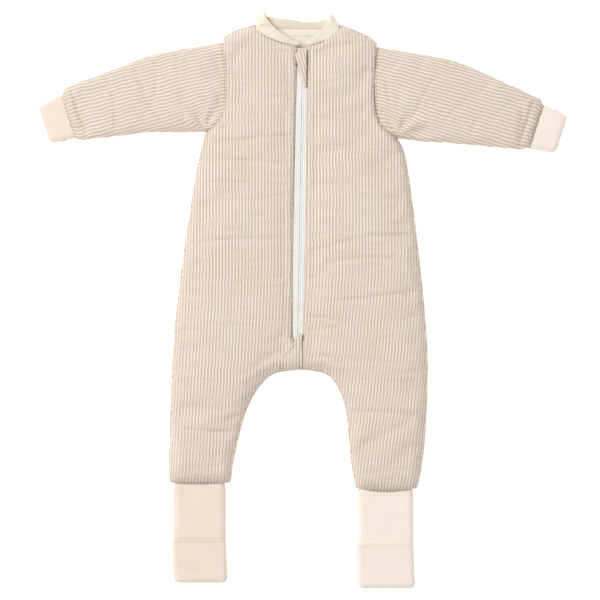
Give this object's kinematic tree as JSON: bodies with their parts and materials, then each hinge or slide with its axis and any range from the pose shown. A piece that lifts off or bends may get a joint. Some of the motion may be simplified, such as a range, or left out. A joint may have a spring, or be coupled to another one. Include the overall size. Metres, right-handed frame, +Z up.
{
  "type": "baby sleeping bag",
  "caption": "Padded baby sleeping bag with legs: striped muslin overall with long sleeves, rib cuffs, fold-over feet and a front zip under a small fabric flap.",
  "frame": {"origin": "middle of the laid garment's box, on the floor it lies on", "axes": "+X towards the wearer's left, +Y from the feet to the head, +Z up out of the front"},
  "size_m": [0.7768, 0.848, 0.0359],
  "materials": {
    "striped_muslin": "double-gauze cotton muslin, woven stripes, matt",
    "polyester_wadding": "polyester fibre fill, matt",
    "jersey_lining": "cotton jersey, matt",
    "rib_knit": "fine cotton rib knit, matt",
    "collar_rib": "fine cotton rib knit, matt",
    "neck_tape_cotton": "cotton twill tape, matt",
    "zip_polyester": "woven polyester tape and nylon coil, matt",
    "painted_zinc": "cream paint, satin"
  },
  "bodies": {
    "body": {"back_shell": "striped_muslin", "back_wadding": "polyester_wadding", "back_lining": "jersey_lining", "front_left_shell": "striped_muslin", "front_left_wadding": "polyester_wadding", "front_left_lining": "jersey_lining", "front_right_shell": "striped_muslin", "front_right_wadding": "polyester_wadding", "front_right_lining": "jersey_lining", "collar": "collar_rib", "neck_tape": "neck_tape_cotton", "foot_cuff_left": "rib_knit", "foot_cuff_right": "rib_knit", "zip_tape_left": "zip_polyester", "zip_tape_right": "zip_polyester", "zip_coil_left": "zip_polyester", "zip_coil_right": "zip_polyester", "zip_top_stop_left": "painted_zinc", "zip_top_stop_right": "painted_zinc", "zip_bottom_stop": "painted_zinc", "zip_guard": "striped_muslin", "zip_underlap": "striped_muslin"},
    "sleeve_left": {"sleeve_left_shell": "striped_muslin", "sleeve_left_wadding": "polyester_wadding", "sleeve_left_lining": "jersey_lining", "wrist_cuff_left": "rib_knit"},
    "sleeve_right": {"sleeve_right_shell": "striped_muslin", "sleeve_right_wadding": "polyester_wadding", "sleeve_right_lining": "jersey_lining", "wrist_cuff_right": "rib_knit"},
    "flap_left": {"foot_flap_left": "rib_knit"},
    "flap_right": {"foot_flap_right": "rib_knit"},
    "slider": {"zip_slider": "painted_zinc"},
    "pull": {"zip_pull": "painted_zinc"},
    "garage": {"zip_garage": "striped_muslin"}
  },
  "joints": [
    {"name": "zip_slide", "type": "slide", "parent": "body", "child": "slider", "axis": [-0.0172, -0.9999, 0], "range_m": [0, 0.405]},
    {"name": "pull_tilt", "type": "hinge", "parent": "slider", "child": "pull", "pos_m": [-0.00186, 0.35899, 0.03085], "axis": [-0.9999, 0.0172, 0], "range_deg": [0, 75]},
    {"name": "garage_lift", "type": "hinge", "parent": "body", "child": "garage", "pos_m": [0.00463, 0.36749, 0.0359], "axis": [0.0172, 0.9999, 0], "range_deg": [0, 150]},
    {"name": "sleeve_left_raise", "type": "hinge", "parent": "body", "child": "sleeve_left", "pos_m": [0.10827, 0.37223, 0.026], "axis": [0.2195, -0.9756, 0], "range_deg": [0, 90]},
    {"name": "sleeve_right_raise", "type": "hinge", "parent": "body", "child": "sleeve_right", "pos_m": [-0.11924, 0.37912, 0.026], "axis": [0.1888, 0.982, 0], "range_deg": [0, 90]},
    {"name": "foot_flap_left_turn", "type": "hinge", "parent": "body", "child": "flap_left", "pos_m": [0.12019, -0.42401, 0.0092], "axis": [1, 0, 0], "range_deg": [0, 180]},
    {"name": "foot_flap_right_turn", "type": "hinge", "parent": "body", "child": "flap_right", "pos_m": [-0.15312, -0.41551, 0.0092], "axis": [1, 0, 0], "range_deg": [0, 180]}
  ],
  "couplings": [
    {"joint": "garage_lift", "follows": "pull_tilt", "ratio": 2}
  ]
}
